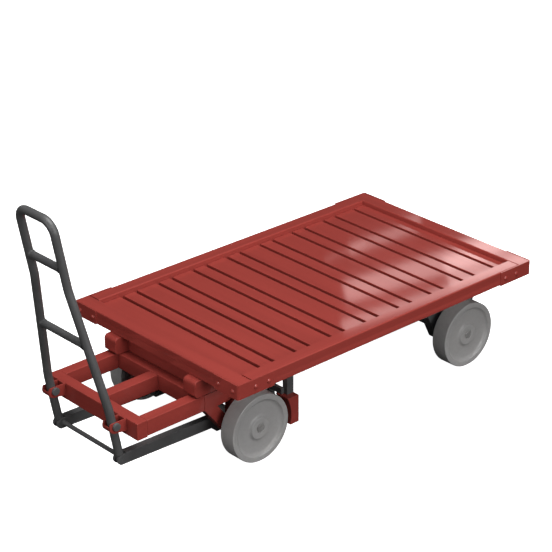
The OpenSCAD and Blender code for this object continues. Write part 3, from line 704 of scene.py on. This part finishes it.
places = rivet_places()
points = bpy.data.meshes.new("rivet places")
points.from_pydata([p for p, _ in places], [], [])
facing = points.attributes.new("outwards", "FLOAT_VECTOR", "POINT")
for item, (_, way) in zip(facing.data, places):
    item.vector = way
carrier = object_of(points, "rivets")
modifier = carrier.modifiers.new("rivets", "NODES")
modifier.node_group = RIVET_TREE
set_inputs(modifier, {"Radius": RIVET_RADIUS, "Height": RIVET_HEIGHT, "Material": PAINT_STEEL})
rivets = baked(carrier, "rivets")
smooth(rivets.data, RIVET_SHARP_DEGREES)
register(rivets, PAINT_STEEL, "red_steel", "corner_rivets")
print("rivets:", len(places))

# %% [markdown]
# ## Turned pieces
# Wheels, axles, pins and rods are round, so each is an outline turned about an axis. The outline is a
# list of places along the axis and radii, with round stretches worked out as arcs.

# %% Turning helper


def arc(centre, radius, start, end, steps=8):
    """Points on an arc in the plane of an outline, from one angle to another in degrees."""
    return [
        (centre[0] + radius * math.cos(math.radians(start + (end - start) * i / steps)),
         centre[1] + radius * math.sin(math.radians(start + (end - start) * i / steps)))
        for i in range(steps + 1)
    ]


def turned(bm, outline, at, segments=64):
    """Adds a closed body of revolution about a line along Y. outline holds (radius, y) pairs."""
    rings = []
    for radius, y in outline:
        ring = []
        for i in range(segments if radius > 1e-6 else 1):
            angle = 2 * math.pi * i / segments
            place = Vector((radius * math.cos(angle), y, radius * math.sin(angle)))
            ring.append(bm.verts.new(Vector(at) + place))
        rings.append(ring)
    for a, b in zip(rings, rings[1:] + rings[:1]):
        for i in range(segments):
            j = (i + 1) % segments
            quad = [a[i % len(a)], a[j % len(a)], b[j % len(b)], b[i % len(b)]]
            corners = list(dict.fromkeys(quad))
            if len(corners) > 2:
                bm.faces.new(corners)


def round_bar(radius, low, high, chamfer):
    """The outline of a bar with chamfered ends, closed on its own axis."""
    return [(0.0, low), (radius - chamfer, low), (radius, low + chamfer),
            (radius, high - chamfer), (radius - chamfer, high), (0.0, high)]


print("a plain bar's outline has", len(round_bar(1.0, 0.0, 1.0, 0.1)), "points")

# %% [markdown]
# ## The wheels
# A cast wheel has a thick rim and hub and a thin web between them, with round hollows where they meet,
# because sharp corners crack in a casting. One face is drawn as arcs and mirrored for the other face,
# and the whole outline is turned about the axle. A soft shoulder along the rim catches the light.

# %% Wheel outline
WHEEL_RADIUS = 175 * MM
WHEEL_SEGMENTS = 144
WHEEL_SHARP_DEGREES = 30
RIM_WIDTH = 24 * MM
DISH = 15 * MM
HUB_RADIUS = 52 * MM
HUB_DROP = 3 * MM
TREAD_EDGE = 4 * MM
SHOULDER = 5 * MM
SLOPE = math.radians(62)
AXLE_RADIUS = 18 * MM
BORE_GAP = 0.05 * MM
BORE_LIP = 8 * MM
LIP_ROUND = 1.5 * MM
RECESS_RADIUS = AXLE_RADIUS + 6 * MM
RECESS_DEPTH = 4 * MM


def hollow(edge, top, floor, way):
    """A soft shoulder at an edge, then a round hollow down to the dish's floor."""
    depth = top - floor - SHOULDER * (1 - math.cos(SLOPE))
    radius = depth / (1 - math.cos(SLOPE))
    tilt = math.degrees(SLOPE)
    down = edge - way * (SHOULDER + radius) * math.sin(SLOPE)
    shoulder = arc((edge, top - SHOULDER), SHOULDER, 90, 90 + way * tilt, 6)
    return shoulder + arc((down, floor + radius), radius, -90 + way * tilt, -90, 10)


def wheel_face(radius, half):
    """One face of a wheel from the tread to the bore, as (radius, height) pairs."""
    web = half - DISH
    hub = half - HUB_DROP
    rim_in = radius - RIM_WIDTH
    return (
        arc((radius - TREAD_EDGE, half - TREAD_EDGE), TREAD_EDGE, 0, 90)
        + hollow(rim_in, half, web, 1)
        + hollow(HUB_RADIUS, hub, web, -1)[::-1]
        + arc((AXLE_RADIUS + BORE_LIP, hub - LIP_ROUND), LIP_ROUND, 90, 175, 4)
        + [(RECESS_RADIUS, hub - RECESS_DEPTH), (AXLE_RADIUS + BORE_GAP, hub - RECESS_DEPTH)]
    )


def make_wheel(node):
    """A wheel turned from its two faces, at the middle of the CAD's wheel."""
    low, high = (Vector(v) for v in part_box(node))
    face = wheel_face(WHEEL_RADIUS, (high.y - low.y) / 2)
    bm = bmesh.new()
    turned(bm, face + [(r, -y) for r, y in reversed(face)], (low + high) / 2, WHEEL_SEGMENTS)
    piece = object_of(mesh_of(bm, node + "_cast", WHEEL_SHARP_DEGREES), node + "_cast")
    register(piece, CAST_IRON, "wheel_iron", node)


for node in ("wheel_front_left", "wheel_front_right", "wheel_rear_left", "wheel_rear_right"):
    make_wheel(node)
print("wheels done, each with a radius of", WHEEL_RADIUS)

# %% [markdown]
# ## The axles
# Each axle is a plain round bar. A collar keeps each wheel off its stand or guard: it starts at the
# stand's face and ends just short of the wheel, so that the wheel turns without rubbing. Bar and
# collars are outlines about the same line, so they are turned into one mesh.

# %% Axles with their collars
COLLAR_RADIUS = 28 * MM
COLLAR_GAP = 0.5 * MM
AXLE_CHAMFER = 2 * MM
BAR_SEGMENTS = 48


def make_axle(node, stand):
    """A round bar with a collar between each stand or guard and its wheel."""
    low, high = (Vector(v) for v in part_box(node))
    centre = (low + high) / 2
    collar_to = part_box("wheel_front_left")[0][1] - COLLAR_GAP
    collar_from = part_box(stand)[1][1]
    bm = bmesh.new()
    turned(bm, round_bar(AXLE_RADIUS, low.y, high.y, AXLE_CHAMFER), (centre.x, 0, centre.z), BAR_SEGMENTS)
    for way in (1, -1):
        ring = [(AXLE_RADIUS, collar_from), (COLLAR_RADIUS - MM, collar_from),
                (COLLAR_RADIUS, collar_from + MM), (COLLAR_RADIUS, collar_to - MM),
                (COLLAR_RADIUS - MM, collar_to), (AXLE_RADIUS, collar_to)]
        turned(bm, [(r, way * y) for r, y in ring], (centre.x, 0, centre.z), BAR_SEGMENTS)
    piece = object_of(mesh_of(bm, node + "_turned", WHEEL_SHARP_DEGREES), node + "_turned")
    register(piece, TURNED_STEEL, "bright_steel", node)


make_axle("front_axle", "guard_left")
make_axle("rear_axle", "axle_stand_left")
print("axles done")

# %% [markdown]
# ## The draw handle
# One long tube is bent into the handle's outline. A curve follows the tube's middle with true arcs at
# the bends, and Curve to Mesh sweeps the round section along it. The handle lies in a plane that leans
# forward from its pivot, so the outline is drawn flat and then turned.

# %% The handle's outline
LEAN = math.radians(10.8)
TUBE_RADIUS = 21 * MM
RUNG_RADIUS = 19 * MM
LEG_HALF = (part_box("lug_left")[0][1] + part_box("lug_left")[1][1]) / 2
GRIP_HALF = 125 * MM
FOOT_DOWN = 195 * MM
TUBE_END = 168 * MM
BENDS_AT = (80 * MM, 692 * MM)
GRIP_UP = 1047 * MM
BEND_RADIUS = 220 * MM
GRIP_BEND = 65 * MM
PIVOT = next(Vector(j["pos_m"]) for j in frame["record"]["behaviour"]["joints"] if j["name"] == "handle_tilt")


def in_handle(y, s, forward=0.0):
    """A point of the handle's plane: y across, s up along the legs, and forward out of the plane."""
    along = Vector((math.sin(LEAN), 0, math.cos(LEAN)))
    out = Vector((math.cos(LEAN), 0, -math.sin(LEAN)))
    return PIVOT + Vector((0, y, 0)) + s * along + forward * out


def rounded(path, radii, steps=10):
    """A path with each inner corner replaced by an arc of its own radius."""
    points = [Vector(path[0])]
    for before, corner, after, radius in zip(path, path[1:], path[2:], radii):
        corner = Vector(corner)
        back = (Vector(before) - corner).normalized()
        on = (Vector(after) - corner).normalized()
        half = math.acos(max(-1.0, min(1.0, back.dot(on)))) / 2
        centre = corner + (back + on).normalized() * (radius / math.sin(half))
        first = corner + back * (radius / math.tan(half)) - centre
        last = corner + on * (radius / math.tan(half)) - centre
        for i in range(steps + 1):
            points.append(centre + first.slerp(last, i / steps) * radius)
    points.append(Vector(path[-1]))
    return points


HALF_PATH = [(LEG_HALF, -TUBE_END, 0), (LEG_HALF, BENDS_AT[0], 0),
             (GRIP_HALF, BENDS_AT[1], 0), (GRIP_HALF, GRIP_UP, 0)]
FLAT_PATH = HALF_PATH + [(-y, s, 0) for y, s, _ in reversed(HALF_PATH)]
BEND_RADII = (BEND_RADIUS, BEND_RADIUS, GRIP_BEND, GRIP_BEND, BEND_RADIUS, BEND_RADIUS)
TUBE_POINTS = [in_handle(p.x, p.y) for p in rounded(FLAT_PATH, BEND_RADII)]
print("handle tube points:", len(TUBE_POINTS))

# %% [markdown]
# ## Sweeping the tube
# A bent tube has the same round section all along, and Curve to Mesh makes just that. The path is a
# plain line of points, so the tree turns it into a curve first, and it closes both ends with caps.

# %% Sweep the tube
TUBE_SIDES = 40
TUBE_SHARP_DEGREES = 50


def make_sweep_tree():
    group, gin, gout = new_geometry_group("swept tube", [
        ("Radius", "NodeSocketFloat"), ("Sides", "NodeSocketInt"), ("Material", "NodeSocketMaterial")])
    line = add(group, "GeometryNodeMeshToCurve")
    link(group, gin.outputs["Geometry"], line.inputs["Mesh"])
    ring = add(group, "GeometryNodeCurvePrimitiveCircle")
    link(group, gin.outputs["Radius"], ring.inputs["Radius"])
    link(group, gin.outputs["Sides"], ring.inputs["Resolution"])
    sweep = add(group, "GeometryNodeCurveToMesh")
    sweep.inputs["Fill Caps"].default_value = True
    link(group, line.outputs["Curve"], sweep.inputs["Curve"])
    link(group, ring.outputs["Curve"], sweep.inputs["Profile Curve"])
    end_group(group, sweep.outputs[0], gin.outputs["Material"], gout)
    return group


SWEEP_TREE = make_sweep_tree()


def swept(name, points, radius, sides):
    """A tube of a round section along a list of points."""
    path = bpy.data.meshes.new(name)
    path.from_pydata(points, [(i, i + 1) for i in range(len(points) - 1)], [])
    carrier = object_of(path, name)
    modifier = carrier.modifiers.new("sweep", "NODES")
    modifier.node_group = SWEEP_TREE
    set_inputs(modifier, {"Radius": radius, "Sides": sides, "Material": DARK_PAINT})
    return baked(carrier, name)


def outward(mesh, sharp_degrees):
    """Merges a mesh's doubles and turns all its faces outwards."""
    bm = bmesh.new()
    bm.from_mesh(mesh)
    bmesh.ops.remove_doubles(bm, verts=bm.verts, dist=MERGE_WITHIN)
    bmesh.ops.recalc_face_normals(bm, faces=bm.faces)
    bm.to_mesh(mesh)
    bm.free()
    smooth(mesh, sharp_degrees)


tube = swept("handle_tube", TUBE_POINTS, TUBE_RADIUS, TUBE_SIDES)
outward(tube.data, TUBE_SHARP_DEGREES)
register(tube, DARK_PAINT, "dark_steel", "handle_frame")
print("tube:", len(tube.data.polygons), "faces")

# %% [markdown]
# ## The handle's feet
# Each leg ends in a flat tongue with a round end. It sits between the cheeks of a brake bar's fork and
# turns on the foot pin. A flat outline in the handle's plane is given a thickness on both sides.

# %% The tongues at the handle's feet
TONGUE_HALF = 8 * MM
TONGUE_RADIUS = 18 * MM
TONGUE_STEPS = 16


def tongue(bm, y):
    """A flat plate with a round end about the foot's pin."""
    rim = [(TONGUE_RADIUS * math.cos(a), TONGUE_RADIUS * math.sin(a) - FOOT_DOWN)
           for a in (-math.pi * i / TONGUE_STEPS for i in range(TONGUE_STEPS + 1))]
    rim = [(TONGUE_RADIUS, MM - TUBE_END)] + rim + [(-TONGUE_RADIUS, MM - TUBE_END)]
    sides = [[bm.verts.new(in_handle(y + dy, s, x)) for x, s in rim] for dy in (TONGUE_HALF, -TONGUE_HALF)]
    bm.faces.new(sides[0])
    bm.faces.new(sides[1][::-1])
    for i in range(len(rim)):
        j = (i + 1) % len(rim)
        bm.faces.new([sides[0][i], sides[0][j], sides[1][j], sides[1][i]])


bm = bmesh.new()
for y in (LEG_HALF, -LEG_HALF):
    tongue(bm, y)
feet = object_of(mesh_of(bm, "handle_feet"), "handle_feet")
register(feet, DARK_PAINT, "dark_steel", body="handle")
print("feet:", len(feet.data.polygons), "faces")

# %% [markdown]
# ## Rungs
# The rungs are round bars welded between the legs, so a ring of weld metal runs round each end. Bar
# and beads are turned outlines. The legs draw together towards the grip, so each rung's length is
# worked out from its place along them.

# %% Rungs with weld beads
RUNGS_AT = (411 * MM, 802 * MM)
RUNG_IN_LEG = 6 * MM
BEAD_REACH = 11 * MM
BEAD_HEIGHT = 3 * MM
RUNG_SEGMENTS = 40


def leg_half(s):
    """Half the width between the legs' middles at a place along them."""
    low, high = BENDS_AT
    share = min(1.0, max(0.0, (s - low) / (high - low)))
    return LEG_HALF + share * (GRIP_HALF - LEG_HALF)


def bead(y, reach):
    """The outline of a weld bead round a rung's end, where the rung meets the leg."""
    return [(RUNG_RADIUS - MM, y), (RUNG_RADIUS + BEAD_HEIGHT, y),
            (RUNG_RADIUS + BEAD_HEIGHT - 0.4 * MM, y - 2 * reach / 5),
            (RUNG_RADIUS, y - reach), (RUNG_RADIUS - MM, y - reach)]


bm = bmesh.new()
for s in RUNGS_AT:
    end = leg_half(s) - TUBE_RADIUS + RUNG_IN_LEG
    at = in_handle(0, s)
    turned(bm, [(0.0, -end), (RUNG_RADIUS, -end), (RUNG_RADIUS, end), (0.0, end)], at, RUNG_SEGMENTS)
    for way in (1, -1):
        turned(bm, [(r, way * y) for r, y in bead(end, BEAD_REACH)], at, RUNG_SEGMENTS)
rungs = object_of(mesh_of(bm, "rungs", 50), "rungs")
register(rungs, DARK_PAINT, "dark_steel", "handle_rungs")
print("rungs:", len(RUNGS_AT))

# %% [markdown]
# ## Pins
# A pivot pin passes through the two plates of a lug and the leg between them. It has a broad head with
# a rounded edge on its left side and a plain end on its right. The foot pins are short plain bars that
# end flush with the forks.

# %% Pivot pins and foot pins
PIN_RADIUS = 10 * MM
PIN_HEAD = 20 * MM
PIN_HEAD_THICK = 13 * MM
FOOT_PIN = 8 * MM
LUG_HALF = 28 * MM
FORK_HALF = 21 * MM
HEAD_GAP = 0.5 * MM
HEAD_ROUND = 2.5 * MM
HEAD_SHORT = 0.8 * MM
PIN_PAST_LUG = 6 * MM


def headed_pin(bm, y):
    """A pin through a lug, with its round head on the left side."""
    face = y + LUG_HALF + HEAD_GAP
    top = face + PIN_HEAD_THICK - HEAD_SHORT
    head = [(0.0, face), (PIN_HEAD, face), (PIN_HEAD, top - HEAD_ROUND)]
    head += arc((PIN_HEAD - HEAD_ROUND, top - HEAD_ROUND), HEAD_ROUND, 0, 90, 5)
    head += [(0.0, top)]
    at = (PIVOT.x, 0, PIVOT.z)
    turned(bm, head, at, BAR_SEGMENTS)
    turned(bm, round_bar(PIN_RADIUS, y - LUG_HALF - PIN_PAST_LUG, face + MM, MM), at, 32)


bm = bmesh.new()
foot = in_handle(0, -FOOT_DOWN)
for y in (LEG_HALF, -LEG_HALF):
    headed_pin(bm, y)
    turned(bm, round_bar(FOOT_PIN, y - FORK_HALF, y + FORK_HALF, MM), (foot.x, 0, foot.z), 32)
pins = object_of(mesh_of(bm, "pins", 40), "pins")
register(pins, DARK_PAINT, "dark_steel", "handle_pins")
print("pins:", len(pins.data.polygons), "faces")

# %% [markdown]
# ## The cross rod
# A thin rod joins the two brake bars, so that they move as one. It is a plain round bar, and its ends
# and its thickness are measured from the CAD.

# %% The rod between the two brake bars
low, high = (Vector(v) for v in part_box("cross_rod"))
rod_at = (low + high) / 2
bm = bmesh.new()
turned(bm, round_bar((high.x - low.x) / 2, low.y, high.y, 0.5 * MM), (rod_at.x, 0, rod_at.z), 36)
cross_rod = object_of(mesh_of(bm, "cross_rod_turned", 40), "cross_rod_turned")
register(cross_rod, DARK_PAINT, "dark_steel", "cross_rod")
print("rod:", round(high.y - low.y, 4), "long")

# %% [markdown]
# ## The floor
# The truck stands on a plain pale floor, as in a catalogue. The floor glows a little, so that it stays
# pale all over. A glowing floor would light the truck from below, so it isn't seen by diffuse or glossy
# rays. A dull ground just under it, which the camera doesn't see, gives back a natural weak light.

# %% Pale floor
FLOOR_HALF = 30.0
GROUND_AT = Matrix.Translation((0, 0, -2 * MM))
bm = bmesh.new()
bmesh.ops.create_grid(bm, x_segments=1, y_segments=1, size=FLOOR_HALF)
floor = object_of(mesh_of(bm, "floor"), "floor")
floor_mat = bpy.data.materials.new("pale floor")
floor_mat.use_nodes = True
floor_shader = floor_mat.node_tree.nodes["Principled BSDF"]
floor_shader.inputs["Base Color"].default_value = (0.9, 0.9, 0.9, 1)
floor_shader.inputs["Roughness"].default_value = 0.9
floor_shader.inputs["Specular IOR Level"].default_value = 0.1
floor_shader.inputs["Emission Color"].default_value = (1, 1, 1, 1)
floor_shader.inputs["Emission Strength"].default_value = 1.0
floor.data.materials.append(floor_mat)
floor.visible_glossy = False
floor.visible_diffuse = False
bm = bmesh.new()
bmesh.ops.create_grid(bm, x_segments=1, y_segments=1, size=FLOOR_HALF, matrix=GROUND_AT)
ground = object_of(mesh_of(bm, "ground"), "ground")
ground_mat = bpy.data.materials.new("dull ground")
ground_mat.use_nodes = True
ground_mat.node_tree.nodes["Principled BSDF"].inputs["Base Color"].default_value = (0.12, 0.12, 0.12, 1)
ground.data.materials.append(ground_mat)
ground.visible_camera = False
ground.visible_glossy = False
print("floor:", 2 * FLOOR_HALF, "across")

# %% [markdown]
# ## Lights
# Three broad area lights shade the truck, so that the top is brightest, the left side next and the
# front darkest. Gloss paint also needs something to mirror. In a level mirror a soft box shows where
# the line from the eye's mirror image passes, so each box is placed along that line, through the place
# on the deck where it should show.

# %% Lights
DECK_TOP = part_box("plank_1")[1][2]
TRUCK_MIDDLE = Vector((0, 0, 0.5))
BOX_DISTANCE = 6.0
GLOW = 2.6
BOX_COLOUR = (1.0, 0.76, 0.74)


def area_light(name, at, aim, size, power, colour=(1, 1, 1)):
    """A rectangular light at a place, aimed at another."""
    data = bpy.data.lights.new(name, "AREA")
    data.shape = "RECTANGLE"
    data.size, data.size_y = size
    data.energy = power
    data.color = colour
    lamp = bpy.data.objects.new(name, data)
    lamp.matrix_world = Matrix.Translation(at) @ (aim - at).to_track_quat("-Z", "Y").to_matrix().to_4x4()
    bpy.context.scene.collection.objects.link(lamp)
    return lamp


def mirrored_box(name, shown_at, size, turn, glow):
    """A soft box whose mirror image in the deck's top shows at a place on the deck, from the camera."""
    flip = Matrix.Diagonal((1, 1, -1))
    across, up = (flip @ camera.matrix_world.to_3x3().col[i] for i in (0, 1))
    mirror_eye = Vector((CAMERA_AT.x, CAMERA_AT.y, 2 * DECK_TOP - CAMERA_AT.z))
    shown = Vector((*shown_at, DECK_TOP))
    place = shown + (shown - mirror_eye).normalized() * BOX_DISTANCE
    power = glow * math.pi * size[0] * size[1]
    lamp = area_light(name, place, shown, size, power, BOX_COLOUR)
    turned_across = across * math.cos(turn) + up * math.sin(turn)
    turned_up = up * math.cos(turn) - across * math.sin(turn)
    frame_axes = Matrix((turned_across, turned_up, turned_across.cross(turned_up))).transposed()
    lamp.matrix_world = Matrix.Translation(place) @ frame_axes.to_4x4()
    lamp.visible_diffuse = False
    return lamp


area_light("overhead", Vector((0.4, 1.6, 6.0)), TRUCK_MIDDLE, (5.0, 4.0), 420)
area_light("left side", Vector((0.5, 8.0, 2.6)), TRUCK_MIDDLE, (5.0, 3.0), 300)
area_light("front fill", Vector((8.0, 0.5, 2.0)), TRUCK_MIDDLE, (4.0, 3.0), 115)
mirrored_box("window near", (-0.717, 0.540), (1.62, 0.12), math.radians(18.7), GLOW)
mirrored_box("window broad", (-0.875, 0.265), (1.30, 0.17), math.radians(17), GLOW)
mirrored_box("window end", (-1.185, 0.436), (0.70, 0.28), math.radians(18), GLOW)
mirrored_box("window far", (-1.018, -0.144), (0.62, 0.085), math.radians(20), 0.7 * GLOW)
mirrored_box("window wisp", (-0.732, -0.151), (0.36, 0.02), math.radians(22), 0.6 * GLOW)

# %% [markdown]
# ## Sky
# The sky fills the shadows with a weak, even light. What the camera sees of it is as pale as the floor,
# so that a low view has no grey horizon. The gloss paint doesn't mirror it, because that would turn the
# red into pink.

# %% Sky
SKY_LIGHT = 0.3
SKY_SEEN = 1.0
world = bpy.data.worlds.new("pale sky")
world.use_nodes = True
bpy.context.scene.world = world
sky = world.node_tree.nodes["Background"]
sky.inputs["Color"].default_value = (1, 1, 1, 1)
light_path = add(world.node_tree, "ShaderNodeLightPath")
strength = add(world.node_tree, "ShaderNodeMapRange")
strength.inputs["To Min"].default_value = SKY_LIGHT
strength.inputs["To Max"].default_value = SKY_SEEN
link(world.node_tree, light_path.outputs["Is Camera Ray"], strength.inputs["Value"])
link(world.node_tree, strength.outputs["Result"], sky.inputs["Strength"])
world.cycles_visibility.glossy = False
bpy.context.scene.view_settings.view_transform = "Standard"
print("sky lights with", SKY_LIGHT, "and shows as", SKY_SEEN)
